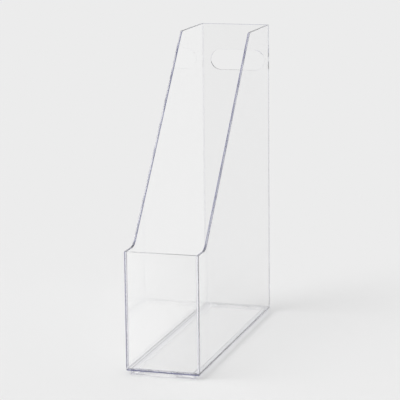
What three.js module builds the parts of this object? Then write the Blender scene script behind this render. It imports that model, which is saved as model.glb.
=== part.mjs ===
// Clear magazine file holder: flat plastic sheets bonded edge to edge on a base sheet with a low foot rim.
// Millimetres, +Z up. X runs across the holder and Y from its low front (-Y) to its tall back (+Y).
// The origin is the middle of the footprint, on the surface that the holder stands on.
import * as THREE from 'three';

// Overall size and stock
const WIDTH = 74;
const DEPTH = 260;
const HEIGHT = 310;
const SHEET = 2.4;
const SEAM = 0.15;

// Side panel outline: level over the front, a straight slope, level again to the back
const FRONT_HEIGHT = 121;
const FRONT_LEDGE = 24.5;
const TOP_LEDGE = 75;
const HOLLOW_BEND_RADIUS = 14;
const CREST_BEND_RADIUS = 7;

// Hand slot in the rear panel, with full round ends
const SLOT_WIDTH = 56.5;
const SLOT_HEIGHT = 21.5;
const SLOT_DROP = 27;
const SLOT_OFFSET = 1.8;

// Foot rim under the base, one strip along each edge
const FOOT_HEIGHT = 3.5;
const FOOT_STRIP = 4;
const FOOT_SIDE_INSET = 4;
const FOOT_END_INSET = 2;

const ARC_SEGMENTS = 16;

// Levels and planes that follow from the sizes above
const HALF_WIDTH = WIDTH / 2;
const HALF_DEPTH = DEPTH / 2;
const BASE_TOP = FOOT_HEIGHT + SHEET;
const PANEL_BOTTOM = BASE_TOP + SEAM;
const INNER_HALF_WIDTH = HALF_WIDTH - SHEET;
const INNER_HALF_DEPTH = HALF_DEPTH - SHEET;
const END_PANEL_HALF_WIDTH = INNER_HALF_WIDTH - SEAM;
const STRIP_TOP = FOOT_HEIGHT - SEAM;
const FOOT_HALF_WIDTH = HALF_WIDTH - FOOT_SIDE_INSET;
const FOOT_HALF_DEPTH = HALF_DEPTH - FOOT_END_INSET;

const holder = new THREE.Group();

function clearSheet() {
  return new THREE.MeshStandardMaterial({
    color: 0xeceef6,
    roughness: 0.06,
    metalness: 0,
    transparent: true,
    opacity: 0.3,
  });
}

function curedCement() {
  return new THREE.MeshStandardMaterial({
    color: 0xd6d9e4,
    roughness: 0.2,
    metalness: 0,
    transparent: true,
    opacity: 0.5,
  });
}

function addNode(name, geometry, material) {
  const mesh = new THREE.Mesh(geometry, material);
  mesh.name = name;
  holder.add(mesh);
  return mesh;
}

// A block between its lowest and highest corners
function addBlock(name, low, high, material) {
  const size = high.map((value, axis) => value - low[axis]);
  const mesh = addNode(name, new THREE.BoxGeometry(...size), material);
  mesh.position.set(...low.map((value, axis) => value + size[axis] / 2));
}

// A closed outline through the given corners, each rounded with a true arc of its own radius
function roundedOutline(corners) {
  const outline = new THREE.Shape();
  corners.forEach((corner, index) => {
    const previous = corners.at(index - 1);
    const next = corners[(index + 1) % corners.length];
    if (corner.radius === 0) {
      if (index === 0) outline.moveTo(corner.point.x, corner.point.y);
      else outline.lineTo(corner.point.x, corner.point.y);
      return;
    }
    const back = previous.point.clone().sub(corner.point).normalize();
    const ahead = next.point.clone().sub(corner.point).normalize();
    const halfAngle = Math.acos(back.dot(ahead)) / 2;
    const toTangent = corner.radius / Math.tan(halfAngle);
    const start = corner.point.clone().addScaledVector(back, toTangent);
    const end = corner.point.clone().addScaledVector(ahead, toTangent);
    const inward = back.clone().add(ahead).normalize();
    const centre = corner.point.clone().addScaledVector(inward, corner.radius / Math.sin(halfAngle));
    const startAngle = start.clone().sub(centre).angle();
    const endAngle = end.clone().sub(centre).angle();
    const turnsRight = back.cross(ahead) > 0;
    outline.lineTo(start.x, start.y);
    outline.absarc(centre.x, centre.y, corner.radius, startAngle, endAngle, turnsRight);
  });
  outline.closePath();
  return outline;
}

// Side panel outline with its first axis along Y and its second along Z
function sidePanelOutline() {
  const corner = (y, z, radius = 0) => ({ point: new THREE.Vector2(y, z), radius });
  return roundedOutline([
    corner(-HALF_DEPTH, PANEL_BOTTOM),
    corner(HALF_DEPTH, PANEL_BOTTOM),
    corner(HALF_DEPTH, HEIGHT),
    corner(HALF_DEPTH - TOP_LEDGE, HEIGHT, CREST_BEND_RADIUS),
    corner(-HALF_DEPTH + FRONT_LEDGE, FRONT_HEIGHT, HOLLOW_BEND_RADIUS),
    corner(-HALF_DEPTH, FRONT_HEIGHT),
  ]);
}

function addSidePanel(name, lowX) {
  const geometry = new THREE.ExtrudeGeometry(sidePanelOutline(), {
    depth: SHEET,
    bevelEnabled: false,
    curveSegments: ARC_SEGMENTS,
  });
  const panel = addNode(name, geometry, clearSheet());
  // A third of a turn about the (1, 1, 1) diagonal lays the outline in the YZ plane
  panel.quaternion.set(0.5, 0.5, 0.5, 0.5);
  panel.position.x = lowX;
}

function handSlot() {
  const endRadius = SLOT_HEIGHT / 2;
  const halfStraight = SLOT_WIDTH / 2 - endRadius;
  const centreZ = HEIGHT - SLOT_DROP - endRadius;
  const slot = new THREE.Path();
  slot.absarc(SLOT_OFFSET - halfStraight, centreZ, endRadius, Math.PI / 2, 1.5 * Math.PI, false);
  slot.absarc(SLOT_OFFSET + halfStraight, centreZ, endRadius, -Math.PI / 2, Math.PI / 2, false);
  slot.closePath();
  return slot;
}

function addRearPanel() {
  const outline = new THREE.Shape();
  outline.moveTo(-END_PANEL_HALF_WIDTH, PANEL_BOTTOM);
  outline.lineTo(END_PANEL_HALF_WIDTH, PANEL_BOTTOM);
  outline.lineTo(END_PANEL_HALF_WIDTH, HEIGHT);
  outline.lineTo(-END_PANEL_HALF_WIDTH, HEIGHT);
  outline.closePath();
  outline.holes.push(handSlot());
  const geometry = new THREE.ExtrudeGeometry(outline, {
    depth: SHEET,
    bevelEnabled: false,
    curveSegments: ARC_SEGMENTS,
  });
  const panel = addNode('rear_panel', geometry, clearSheet());
  panel.rotation.x = Math.PI / 2;
  panel.position.y = HALF_DEPTH;
}

function addSheets() {
  addBlock(
    'base_panel',
    [-HALF_WIDTH, -HALF_DEPTH, FOOT_HEIGHT],
    [HALF_WIDTH, HALF_DEPTH, BASE_TOP],
    clearSheet(),
  );
  addSidePanel('left_side_panel', -HALF_WIDTH);
  addSidePanel('right_side_panel', INNER_HALF_WIDTH);
  addBlock(
    'front_panel',
    [-END_PANEL_HALF_WIDTH, -HALF_DEPTH, PANEL_BOTTOM],
    [END_PANEL_HALF_WIDTH, -INNER_HALF_DEPTH, FRONT_HEIGHT],
    clearSheet(),
  );
  addRearPanel();
}

// Cement between the base sheet and the bottom edges of the four upright panels
function addBaseSeams() {
  const seams = {
    left_side_to_base_seam: [-HALF_WIDTH, -INNER_HALF_WIDTH, -HALF_DEPTH, HALF_DEPTH],
    right_side_to_base_seam: [INNER_HALF_WIDTH, HALF_WIDTH, -HALF_DEPTH, HALF_DEPTH],
    front_to_base_seam: [-END_PANEL_HALF_WIDTH, END_PANEL_HALF_WIDTH, -HALF_DEPTH, -INNER_HALF_DEPTH],
    rear_to_base_seam: [-END_PANEL_HALF_WIDTH, END_PANEL_HALF_WIDTH, INNER_HALF_DEPTH, HALF_DEPTH],
  };
  for (const [name, [lowX, highX, lowY, highY]] of Object.entries(seams)) {
    addBlock(name, [lowX, lowY, BASE_TOP], [highX, highY, PANEL_BOTTOM], curedCement());
  }
}

// Cement between the upright ends of the front and rear panels and the side panels
function addCornerSeams() {
  const ends = {
    front: [-HALF_DEPTH, -INNER_HALF_DEPTH, FRONT_HEIGHT],
    rear: [INNER_HALF_DEPTH, HALF_DEPTH, HEIGHT],
  };
  const sides = {
    left: [-INNER_HALF_WIDTH, -END_PANEL_HALF_WIDTH],
    right: [END_PANEL_HALF_WIDTH, INNER_HALF_WIDTH],
  };
  for (const [end, [lowY, highY, topZ]] of Object.entries(ends)) {
    for (const [side, [lowX, highX]] of Object.entries(sides)) {
      const name = `${end}_to_${side}_side_seam`;
      addBlock(name, [lowX, lowY, BASE_TOP], [highX, highY, topZ], curedCement());
    }
  }
}

// Foot strips, each with the cement that holds it to the underside of the base
function addFootRim() {
  const innerHalfWidth = FOOT_HALF_WIDTH - FOOT_STRIP;
  const innerHalfDepth = FOOT_HALF_DEPTH - FOOT_STRIP;
  const strips = {
    left: [-FOOT_HALF_WIDTH, -innerHalfWidth, -FOOT_HALF_DEPTH, FOOT_HALF_DEPTH],
    right: [innerHalfWidth, FOOT_HALF_WIDTH, -FOOT_HALF_DEPTH, FOOT_HALF_DEPTH],
    front: [-innerHalfWidth, innerHalfWidth, -FOOT_HALF_DEPTH, -innerHalfDepth],
    rear: [-innerHalfWidth, innerHalfWidth, innerHalfDepth, FOOT_HALF_DEPTH],
  };
  for (const [place, [lowX, highX, lowY, highY]] of Object.entries(strips)) {
    addBlock(`${place}_foot_strip`, [lowX, lowY, 0], [highX, highY, STRIP_TOP], clearSheet());
    addBlock(`${place}_foot_seam`, [lowX, lowY, STRIP_TOP], [highX, highY, FOOT_HEIGHT], curedCement());
  }
}

addSheets();
addBaseSeams();
addCornerSeams();
addFootRim();

export default holder;
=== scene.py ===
"""Clear magazine file holder: bonded plastic sheets on a low foot rim, in soft studio light.

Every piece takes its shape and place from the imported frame. Lengths are in metres.
"""

import math

import bmesh
import bpy
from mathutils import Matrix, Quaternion, Vector


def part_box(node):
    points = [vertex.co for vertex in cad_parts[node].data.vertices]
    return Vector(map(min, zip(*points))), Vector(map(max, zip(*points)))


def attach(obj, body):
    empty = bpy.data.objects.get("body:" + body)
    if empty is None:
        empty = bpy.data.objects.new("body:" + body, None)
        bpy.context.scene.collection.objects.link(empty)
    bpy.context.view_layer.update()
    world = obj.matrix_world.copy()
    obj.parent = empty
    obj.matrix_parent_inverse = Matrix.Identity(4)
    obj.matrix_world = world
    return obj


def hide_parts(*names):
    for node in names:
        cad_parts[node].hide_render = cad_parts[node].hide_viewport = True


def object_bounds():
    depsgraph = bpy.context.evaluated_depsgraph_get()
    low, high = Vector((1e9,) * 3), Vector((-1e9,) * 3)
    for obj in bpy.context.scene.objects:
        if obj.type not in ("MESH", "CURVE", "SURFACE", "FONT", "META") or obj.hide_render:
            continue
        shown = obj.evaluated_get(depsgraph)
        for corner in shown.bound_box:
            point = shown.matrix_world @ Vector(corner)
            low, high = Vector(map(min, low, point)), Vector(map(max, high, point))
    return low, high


X, Y, Z = 0, 1, 2

# How far the edges and corners are rounded, and how far a bonded piece is drawn in at a joint
EDGE_EASE = 0.0003
EDGE_SEGMENTS = 3
CORNER_EASE = 0.001
CORNER_SEGMENTS = 8
JOINT_GAP = 0.000012

# Limits for cleaning a mesh and for finding what a piece is bonded to
WELD = 0.000001
FLAT_ANGLE = math.radians(1)
SHARP_EDGE = math.radians(45)
SMOOTH_ANGLE = math.radians(12)
TOUCH = 0.00001
BOND_PROBE = 0.0001
BOND_EDGE = 0.00005

# Cosines between a face's normal and an axis: a flat face square to the axis, the eased border of a
# broad face, an upright face of a foot strip, an open edge with its rounding, and the right end of
# the hand slot
SQUARE = 0.999
BORDER = 0.9
UPRIGHT = 0.5
EDGE_REACH = 0.3
SLOT_END_REACH = 0.1

# The sheets' open edges: the axis and way that each one faces, then the share of the edge tint that
# each third of its width has, from the sheet's low side to its high side. A face takes the first
# edge that it fits. The tint is partly painted shade, set edge by edge and third by third to the dark
# lines that refraction draws along the edges in this light.
NO_TINT = (0.0, 0.0, 0.0)
OPEN_EDGES = {
    "base_panel": ((X, -1, NO_TINT), (X, 1, NO_TINT), (Y, -1, (1.0, 1.0, 0.1))),
    "left_side_panel": ((Z, 1, (0.2, 0.6, 1.0)), (Y, -1, (1.0, 0.6, 0.0)), (Y, 1, (0.9, 0.0, 0.0))),
    "right_side_panel": ((Z, 1, (1.0, 0.7, 0.7)), (Y, -1, (0.0, 0.0, 0.2)), (Y, 1, (0.0, 0.0, 0.9))),
    "rear_panel": ((Z, 1, (1.0, 1.0, 1.0)),),
}
# The hand slot's rim: its edge tint with painted shade, strongest at its right end, and how far in
# from the sheet's sides and top the slot lies
SLOT_END_TINT_AND_SHADE = 0.95
SLOT_TINT_AND_SHADE = 0.25
SLOT_MARGIN = 0.005

# Painted light: glow that stands in for studio light the faces catch, on a pane from the holder's
# left side to its right, on an open edge by thirds of its width, and on the upright faces of the foot
# strips
PAINTED_FACE_GLOW = {"left_side_panel": (0.032, 0.032), "front_panel": (0.055, 0.0)}
PAINTED_EDGE_GLOW = {
    "left_side_panel": (Y, -1, (0.0, 0.0, 0.2)),
    "right_side_panel": (Y, -1, (0.18, 0.25, 0.14)),
    "base_panel": (X, 1, (0.1, 0.1, 0.1)),
    "front_panel": (Z, 1, (0.13, 0.13, 0.13)),
}
PAINTED_FOOT_GLOW = 0.08

# Clear plastic. Smears from handling dull its faces, slow waves bend them, and its open edges are
# tinted, partly with the plastic's own colour and partly with painted shade, and let less of the key
# light through.
REFRACTIVE_INDEX = 1.49
DEPTH_COLOUR = (0.10, 0.10, 0.28, 1.0)
DEPTH_DENSITY = 0.3
SMEAR_NOISE = {"Scale": 22.0, "Detail": 3.0}
SMEAR_LOW, SMEAR_HIGH = 0.35, 0.75
WAVE_NOISE = {"Scale": 9.0, "Detail": 1.0}
WAVE_BUMP = {"Strength": 0.05, "Distance": 0.0004}
# Violet edge colour, partly the plastic's own tint and partly painted shade for the dark lines at its
# edges
EDGE_TINT_AND_SHADE = (0.12, 0.125, 0.27, 1.0)
EDGE_ROUGHNESS = 0.05
EDGE_SHADE = 0.5
SHEET_HAZE = 0.05
CEMENT_HAZE = 0.1
GRAZING_POWER = 5.0

# Each plastic's tint, the haze of its faces, and the share of the key light that it passes head on.
# The clear sheets and foot strips are one plastic, and their tints differ only as painted light and
# shade: palest on the foot strips and left sheet, darkest on the front and rear sheets.
PLASTICS = {
    "clear_sheet": ((0.988, 0.988, 0.99, 1.0), SHEET_HAZE, 0.97),
    "clear_sheet_left": ((0.995, 0.995, 0.995, 1.0), SHEET_HAZE, 0.97),
    "clear_sheet_front": ((0.965, 0.965, 0.965, 1.0), SHEET_HAZE, 0.96),
    "clear_sheet_rear": ((0.972, 0.972, 0.972, 1.0), SHEET_HAZE, 0.7),
    "clear_sheet_foot": ((1.0, 1.0, 1.0, 1.0), SHEET_HAZE, 0.96),
    "cured_cement": ((0.93, 0.93, 0.95, 1.0), CEMENT_HAZE, 0.96),
}
SHEET_PLASTICS = {
    "base_panel": "clear_sheet",
    "left_side_panel": "clear_sheet_left",
    "right_side_panel": "clear_sheet",
    "front_panel": "clear_sheet_front",
    "rear_panel": "clear_sheet_rear",
}

# Studio: an even backdrop, and a wide key light from the upper left front
BACKDROP_LEVEL = 0.8388
KEY_SHARE = 0.30
KEY_TRAVEL = (0.607, 0.42, -0.743)
KEY_ANGLE = 42
KEY_DISTANCE = 2
FLOOR_HALF_SIZE = 30
FIBRE_NOISE = {"Scale": 400.0, "Detail": 2.0}
FIBRE_BUMP = {"Strength": 0.02, "Distance": 0.0001}
LIGHT_BOUNCES = 64

# Camera: where it stands round the object, how far off, and its lens
CAMERA_AZIMUTH = 17.11
CAMERA_ELEVATION = 11.615
CAMERA_ROLL = -0.642
CAMERA_DISTANCE = 1.863
LENS_MM = 166.96
AIM_RIGHT = -0.000785
AIM_ABOVE_MIDDLE = -0.00828
NEAREST, FARTHEST = 0.1, 100

# The CAD nodes by kind
SHEETS = tuple(SHEET_PLASTICS)
FOOT_PLACES = ("left", "right", "front", "rear")
FOOT_STRIPS = tuple(f"{place}_foot_strip" for place in FOOT_PLACES)
FOOT_SEAMS = tuple(f"{place}_foot_seam" for place in FOOT_PLACES)
BASE_SEAMS = tuple(f"{wall}_to_base_seam" for wall in ("left_side", "right_side", "front", "rear"))
CORNER_SEAMS = tuple(
    f"{end}_to_{side}_side_seam" for end in ("front", "rear") for side in ("left", "right")
)
SEAMS = BASE_SEAMS + CORNER_SEAMS + FOOT_SEAMS


def add_object(name, data):
    thing = bpy.data.objects.new(name, data)
    bpy.context.scene.collection.objects.link(thing)
    return thing


def add_node(tree, kind, inputs=None, **properties):
    """A shader node with its properties and its unlinked inputs set."""
    node = tree.nodes.new(kind)
    for name, value in properties.items():
        setattr(node, name, value)
    for name, value in (inputs or {}).items():
        node.inputs[name].default_value = value
    return node


def new_material(name):
    material = bpy.data.materials.new(name)
    material.use_nodes = True
    material.node_tree.nodes.clear()
    return material, material.node_tree


def let_key_through(tree, shader, rim, bond, passing):
    """Lets the key's shadow rays pass a clear surface, less what it reflects and its edges hold.

    Without this a refracting surface would stop them all, and the holder would cast a solid shadow.
    """
    link = tree.links.new
    facing = add_node(tree, "ShaderNodeLayerWeight", {"Blend": 0.5})
    grazing = add_node(tree, "ShaderNodeMath", {1: GRAZING_POWER}, operation="POWER")
    passed = add_node(tree, "ShaderNodeMapRange", {"To Min": passing, "To Max": 0.0})
    clear = add_node(tree, "ShaderNodeBsdfTransparent")
    light_path = add_node(tree, "ShaderNodeLightPath")
    choose = add_node(tree, "ShaderNodeMixShader")
    edge = add_node(tree, "ShaderNodeMapRange", {"To Min": 1.0, "To Max": EDGE_SHADE})
    shaded = add_node(tree, "ShaderNodeMath", operation="MULTIPLY")
    bonded = add_node(tree, "ShaderNodeMix", {"B": 1.0}, data_type="FLOAT")
    link(facing.outputs["Facing"], grazing.inputs[0])
    link(grazing.outputs["Value"], passed.inputs["Value"])
    link(rim, edge.inputs["Value"])
    link(passed.outputs["Result"], shaded.inputs[0])
    link(edge.outputs["Result"], shaded.inputs[1])
    link(bond, bonded.inputs["Factor"])
    link(shaded.outputs["Value"], bonded.inputs["A"])
    link(bonded.outputs["Result"], clear.inputs["Color"])
    link(light_path.outputs["Is Shadow Ray"], choose.inputs[0])
    link(shader, choose.inputs[1])
    link(clear.outputs["BSDF"], choose.inputs[2])
    return choose.outputs["Shader"]


def painted_outward_glow(tree):
    """Painted light that a face gives off on its outer side, as its glow attribute says."""
    glow = add_node(tree, "ShaderNodeAttribute", attribute_name="glow")
    side = add_node(tree, "ShaderNodeNewGeometry")
    outside = add_node(tree, "ShaderNodeMath", {0: 1.0}, operation="SUBTRACT")
    strength = add_node(tree, "ShaderNodeMath", operation="MULTIPLY")
    tree.links.new(side.outputs["Backfacing"], outside.inputs[1])
    tree.links.new(glow.outputs["Fac"], strength.inputs[0])
    tree.links.new(outside.outputs["Value"], strength.inputs[1])
    return strength.outputs["Value"]


def clear_plastic(name):
    """Clear plastic with hazy faces, duller open edges whose tint is partly painted shade, painted
    glow, and no surface where bonded.
    """
    pane_tint_and_shade, haze, passing = PLASTICS[name]
    material, tree = new_material(name)
    link = tree.links.new
    place = add_node(tree, "ShaderNodeTexCoord").outputs["Object"]
    rim = add_node(tree, "ShaderNodeAttribute", attribute_name="rim").outputs["Fac"]

    tint_and_shade = add_node(tree, "ShaderNodeMix", data_type="RGBA")
    tint_and_shade.inputs["A"].default_value = pane_tint_and_shade
    tint_and_shade.inputs["B"].default_value = EDGE_TINT_AND_SHADE
    link(rim, tint_and_shade.inputs["Factor"])

    smears = add_node(tree, "ShaderNodeTexNoise", SMEAR_NOISE)
    link(place, smears.inputs["Vector"])
    face_roughness = add_node(
        tree,
        "ShaderNodeMapRange",
        {"From Min": SMEAR_LOW, "From Max": SMEAR_HIGH, "To Min": 0.0, "To Max": haze},
    )
    link(smears.outputs["Fac"], face_roughness.inputs["Value"])
    roughness = add_node(tree, "ShaderNodeMix", data_type="FLOAT")
    roughness.inputs["B"].default_value = EDGE_ROUGHNESS
    link(rim, roughness.inputs["Factor"])
    link(face_roughness.outputs["Result"], roughness.inputs["A"])

    waves = add_node(tree, "ShaderNodeTexNoise", WAVE_NOISE)
    link(place, waves.inputs["Vector"])
    wave_bump = add_node(tree, "ShaderNodeBump", WAVE_BUMP)
    link(waves.outputs["Fac"], wave_bump.inputs["Height"])

    bond = add_node(tree, "ShaderNodeAttribute", attribute_name="bond").outputs["Fac"]
    index = add_node(tree, "ShaderNodeMapRange", {"To Min": REFRACTIVE_INDEX, "To Max": 1.0})
    link(bond, index.inputs["Value"])

    surface = add_node(tree, "ShaderNodeBsdfPrincipled", {"Transmission Weight": 1.0})
    link(tint_and_shade.outputs["Result"], surface.inputs["Base Color"])
    link(roughness.outputs["Result"], surface.inputs["Roughness"])
    link(wave_bump.outputs["Normal"], surface.inputs["Normal"])
    link(index.outputs["Result"], surface.inputs["IOR"])
    link(painted_outward_glow(tree), surface.inputs["Emission Strength"])
    lit_surface = let_key_through(tree, surface.outputs["BSDF"], rim, bond, passing)

    inside = add_node(
        tree,
        "ShaderNodeVolumeAbsorption",
        {"Color": DEPTH_COLOUR, "Density": DEPTH_DENSITY},
    )
    output = add_node(tree, "ShaderNodeOutputMaterial")
    link(lit_surface, output.inputs["Surface"])
    link(inside.outputs["Volume"], output.inputs["Volume"])
    return material


def floor_paper():
    """Matt white paper that the backdrop and the key together light to the backdrop's own level."""
    material, tree = new_material("floor_paper")
    link = tree.links.new
    place = add_node(tree, "ShaderNodeTexCoord").outputs["Object"]
    fibres = add_node(tree, "ShaderNodeTexNoise", FIBRE_NOISE)
    link(place, fibres.inputs["Vector"])
    bump = add_node(tree, "ShaderNodeBump", FIBRE_BUMP)
    link(fibres.outputs["Fac"], bump.inputs["Height"])
    albedo = 1 / (1 + KEY_SHARE)
    surface = add_node(tree, "ShaderNodeBsdfDiffuse", {"Color": (albedo, albedo, albedo, 1.0)})
    link(bump.outputs["Normal"], surface.inputs["Normal"])
    output = add_node(tree, "ShaderNodeOutputMaterial")
    link(surface.outputs["BSDF"], output.inputs["Surface"])
    return material


def shrink(bm, gap):
    """Draws the solid in by gap on every side, so that bonded pieces don't share a face."""
    low = Vector(min(v.co[axis] for v in bm.verts) for axis in range(3))
    high = Vector(max(v.co[axis] for v in bm.verts) for axis in range(3))
    centre = (low + high) / 2
    for vertex in bm.verts:
        for axis in range(3):
            half = (high[axis] - low[axis]) / 2
            vertex.co[axis] = centre[axis] + (vertex.co[axis] - centre[axis]) * (half - gap) / half


def thin_axis(node):
    low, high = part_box(node)
    size = high - low
    return min(range(3), key=lambda axis: size[axis])


def touching_boxes(node):
    """The boxes of the other nodes that this one is bonded to."""
    low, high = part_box(node)
    boxes = []
    for other in SHEETS + FOOT_STRIPS + SEAMS:
        other_low, other_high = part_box(other)
        gaps = [max(other_low[a] - high[a], low[a] - other_high[a]) for a in range(3)]
        if other != node and max(gaps) < TOUCH:
            boxes.append((other_low, other_high))
    return boxes


def is_bonded(centre, normal, boxes):
    """Whether a face lies against one of the boxes."""
    probe = centre + normal * BOND_PROBE
    return any(all(low[a] < probe[a] < high[a] for a in range(3)) for low, high in boxes)


def is_at_bond(edge, boxes):
    """Whether an edge runs along one of the boxes."""
    middle = (edge.verts[0].co + edge.verts[1].co) / 2
    return any(
        all(low[a] - BOND_EDGE < middle[a] < high[a] + BOND_EDGE for a in range(3))
        for low, high in boxes
    )


def round_edges(bm, edges, radius, segments):
    bmesh.ops.bevel(
        bm,
        geom=edges,
        offset=radius,
        segments=segments,
        profile=0.5,
        affect="EDGES",
        clamp_overlap=True,
    )


def is_outer_corner(place):
    """Whether a point lies on one of the holder's four upright outer corners."""
    near = 2 * JOINT_GAP
    return abs(place.x) > cad_high.x - near and abs(place.y) > cad_high.y - near


def round_corners(bm):
    """Rounds the solid's upright edges where they are the holder's own outer corners."""
    corners = [e for e in bm.edges if all(is_outer_corner(v.co) for v in e.verts)]
    round_edges(bm, corners, CORNER_EASE, CORNER_SEGMENTS)


def ease_edges(bm, boxes):
    """Eases the solid's sharp edges, except the ones that are bonded flush to another piece."""
    sharp = [e for e in bm.edges if e.calc_face_angle(0) > SHARP_EDGE and not is_at_bond(e, boxes)]
    round_edges(bm, sharp, EDGE_EASE, EDGE_SEGMENTS)


def cut_across(bm, axis, level):
    """Cuts the solid's surface along a plane square to the axis."""
    square = Vector(1.0 if a == axis else 0.0 for a in range(3))
    bmesh.ops.bisect_plane(
        bm, geom=bm.verts[:] + bm.edges[:] + bm.faces[:], plane_co=square * level, plane_no=square
    )


def cut_round_bonds(bm, node, boxes):
    """Cuts the solid's surface along the outlines of what it is bonded to."""
    low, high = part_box(node)
    for axis in range(3):
        for level in sorted({round(box[end][axis], 6) for box in boxes for end in (0, 1)}):
            if low[axis] + TOUCH < level < high[axis] - TOUCH:
                cut_across(bm, axis, level)


def cut_thirds(bm, node, across):
    """Cuts the solid's surface into three bands across the axis."""
    low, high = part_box(node)
    for third in (1, 2):
        cut_across(bm, across, low[across] + (high[across] - low[across]) * third / 3)


def third_of(node, across, centre):
    """Which of the node's three bands a face is in, counted from the low side."""
    low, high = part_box(node)
    return min(2, int(3 * (centre[across] - low[across]) / (high[across] - low[across])))


def is_in_slot(node, centre):
    """Whether a face of the rear panel's rim belongs to its hand slot."""
    low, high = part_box(node)
    clear_of_sides = low.x + SLOT_MARGIN < centre.x < high.x - SLOT_MARGIN
    return node == "rear_panel" and clear_of_sides and centre.z < high.z - SLOT_MARGIN


def edge_tint_and_shade(node, centre, normal, third):
    """How strongly a face of the node is tinted, with painted shade in the tint."""
    if is_in_slot(node, centre):
        return SLOT_END_TINT_AND_SHADE if normal.x < -SLOT_END_REACH else SLOT_TINT_AND_SHADE
    for axis, sign, tint_and_shade_shares in OPEN_EDGES.get(node, ()):
        if normal[axis] * sign > EDGE_REACH:
            return tint_and_shade_shares[third]
    return 0.0


def painted_edge_glow(node, normal, third):
    """The painted glow of a face on one of the node's open edges."""
    if node not in PAINTED_EDGE_GLOW:
        return 0.0
    axis, sign, glows = PAINTED_EDGE_GLOW[node]
    return glows[third] if normal[axis] * sign > SQUARE else 0.0


def painted_face_glow(node, normal, x):
    """The painted glow of a foot strip's upright faces or a pane's broad faces, at x across the
    holder.
    """
    if node in FOOT_STRIPS:
        return PAINTED_FOOT_GLOW if abs(normal.z) < UPRIGHT else 0.0
    left, right = PAINTED_FACE_GLOW.get(node, (0.0, 0.0))
    return left + (right - left) * (x - cad_low.x) / (cad_high.x - cad_low.x)


def piece_mesh(node, eased, boxes):
    """The CAD node's solid with clean flat faces, eased open edges and cuts where its look changes."""
    bm = bmesh.new()
    bm.from_mesh(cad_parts[node].data)
    bmesh.ops.remove_doubles(bm, verts=bm.verts, dist=WELD)
    bmesh.ops.dissolve_limit(bm, angle_limit=FLAT_ANGLE, verts=bm.verts, edges=bm.edges)
    shrink(bm, JOINT_GAP)
    bm.normal_update()
    round_corners(bm)
    bm.normal_update()
    if eased:
        ease_edges(bm, boxes)
    cut_round_bonds(bm, node, boxes)
    if node in OPEN_EDGES:
        cut_thirds(bm, node, thin_axis(node))
    bmesh.ops.recalc_face_normals(bm, faces=bm.faces)
    mesh = bpy.data.meshes.new(node + "_piece")
    bm.to_mesh(mesh)
    bm.free()
    mesh.attributes.remove(mesh.attributes["custom_normal"])
    mesh.set_sharp_from_angle(angle=SMOOTH_ANGLE)
    return mesh


def mark_faces(mesh, node, boxes):
    """Writes down which faces are bonded, which are tinted with painted shade, and which are given
    painted glow, for the material to read.
    """
    across = thin_axis(node)
    rim = mesh.attributes.new("rim", "FLOAT", "FACE").data
    bond = mesh.attributes.new("bond", "FLOAT", "FACE").data
    glow = mesh.attributes.new("glow", "FLOAT", "CORNER").data
    for polygon in mesh.polygons:
        centre, normal = polygon.center, polygon.normal
        broad = abs(normal[across]) > SQUARE
        third = third_of(node, across, centre)
        polygon.use_smooth = not broad
        if is_bonded(centre, normal, boxes):
            bond[polygon.index].value = 1.0
            continue
        if abs(normal[across]) < BORDER:
            rim[polygon.index].value = edge_tint_and_shade(node, centre, normal, third)
        for corner in polygon.loop_indices:
            x = mesh.vertices[mesh.loops[corner].vertex_index].co.x
            if broad or node in FOOT_STRIPS:
                glow[corner].value = painted_face_glow(node, normal, x)
            else:
                glow[corner].value = painted_edge_glow(node, normal, third)


def make_piece(node, material, eased=True):
    """The visible piece that stands for the CAD node."""
    boxes = touching_boxes(node)
    mesh = piece_mesh(node, eased, boxes)
    mark_faces(mesh, node, boxes)
    mesh.materials.append(material)
    piece = add_object(node + "_piece", mesh)
    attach(piece, "root")
    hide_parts(node)


def make_holder():
    plastics = {name: clear_plastic(name) for name in PLASTICS}
    for node, plastic in SHEET_PLASTICS.items():
        make_piece(node, plastics[plastic])
    for node in FOOT_STRIPS:
        make_piece(node, plastics["clear_sheet_foot"])
    for node in SEAMS:
        make_piece(node, plastics["cured_cement"], eased=False)


def make_floor():
    mesh = bpy.data.meshes.new("floor")
    half = FLOOR_HALF_SIZE
    corners = [(-half, -half, 0), (half, -half, 0), (half, half, 0), (-half, half, 0)]
    mesh.from_pydata(corners, [], [(0, 1, 2, 3)])
    mesh.materials.append(floor_paper())
    floor = add_object("floor", mesh)


def make_world():
    world = bpy.data.worlds.new("studio")
    bpy.context.scene.world = world
    world.use_nodes = True
    background = world.node_tree.nodes["Background"]
    background.inputs["Color"].default_value = (1, 1, 1, 1)
    background.inputs["Strength"].default_value = BACKDROP_LEVEL


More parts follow.
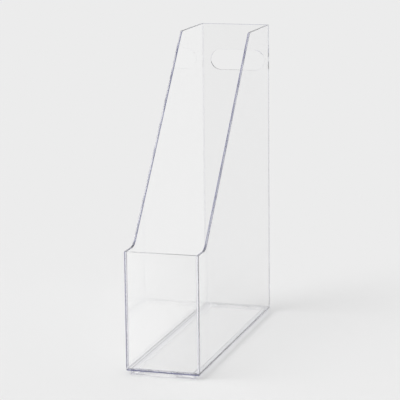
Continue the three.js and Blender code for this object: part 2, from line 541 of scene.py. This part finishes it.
def make_key():
    """A wide key light that adds to the backdrop's light. It isn't seen through the clear sheets."""
    light = bpy.data.lights.new("key", "SUN")
    travel = Vector(KEY_TRAVEL).normalized()
    light.energy = KEY_SHARE * math.pi * BACKDROP_LEVEL / -travel.z
    light.angle = math.radians(KEY_ANGLE)
    key = add_object("key", light)
    key.rotation_mode = "QUATERNION"
    key.rotation_quaternion = travel.to_track_quat("-Z", "Y")
    key.location = -travel * KEY_DISTANCE
    key.visible_transmission = False


def make_camera():
    azimuth, elevation = math.radians(CAMERA_AZIMUTH), math.radians(CAMERA_ELEVATION)
    back = Vector((
        math.sin(azimuth) * math.cos(elevation),
        -math.cos(azimuth) * math.cos(elevation),
        math.sin(elevation),
    ))
    right = Vector((math.cos(azimuth), math.sin(azimuth), 0))
    middle = (cad_low.z + cad_high.z) / 2
    aim = right * AIM_RIGHT + Vector((0, 0, middle + AIM_ABOVE_MIDDLE))
    data = bpy.data.cameras.new("camera")
    data.lens = LENS_MM
    data.clip_start, data.clip_end = NEAREST, FARTHEST
    camera = add_object("camera", data)
    camera.rotation_mode = "QUATERNION"
    roll = Quaternion(back, math.radians(CAMERA_ROLL))
    camera.rotation_quaternion = roll @ (-back).to_track_quat("-Z", "Y")
    camera.location = aim + back * CAMERA_DISTANCE
    bpy.context.scene.camera = camera


def set_look():
    """Plain colours, sharp reflections, and enough bounces to cross every clear face in the way."""
    scene = bpy.context.scene
    scene.view_settings.view_transform = "Standard"
    scene.cycles.blur_glossy = 0
    scene.cycles.max_bounces = LIGHT_BOUNCES
    scene.cycles.transmission_bounces = LIGHT_BOUNCES
    scene.cycles.glossy_bounces = LIGHT_BOUNCES
    scene.cycles.transparent_max_bounces = LIGHT_BOUNCES


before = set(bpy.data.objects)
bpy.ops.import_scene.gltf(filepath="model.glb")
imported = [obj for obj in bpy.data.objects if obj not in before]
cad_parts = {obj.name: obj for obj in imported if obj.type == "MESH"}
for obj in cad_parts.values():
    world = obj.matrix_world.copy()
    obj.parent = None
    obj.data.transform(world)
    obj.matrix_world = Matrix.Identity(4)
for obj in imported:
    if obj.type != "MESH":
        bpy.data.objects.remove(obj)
cad_low, cad_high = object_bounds()
make_camera()
make_world()
make_key()
make_floor()
make_holder()
set_look()
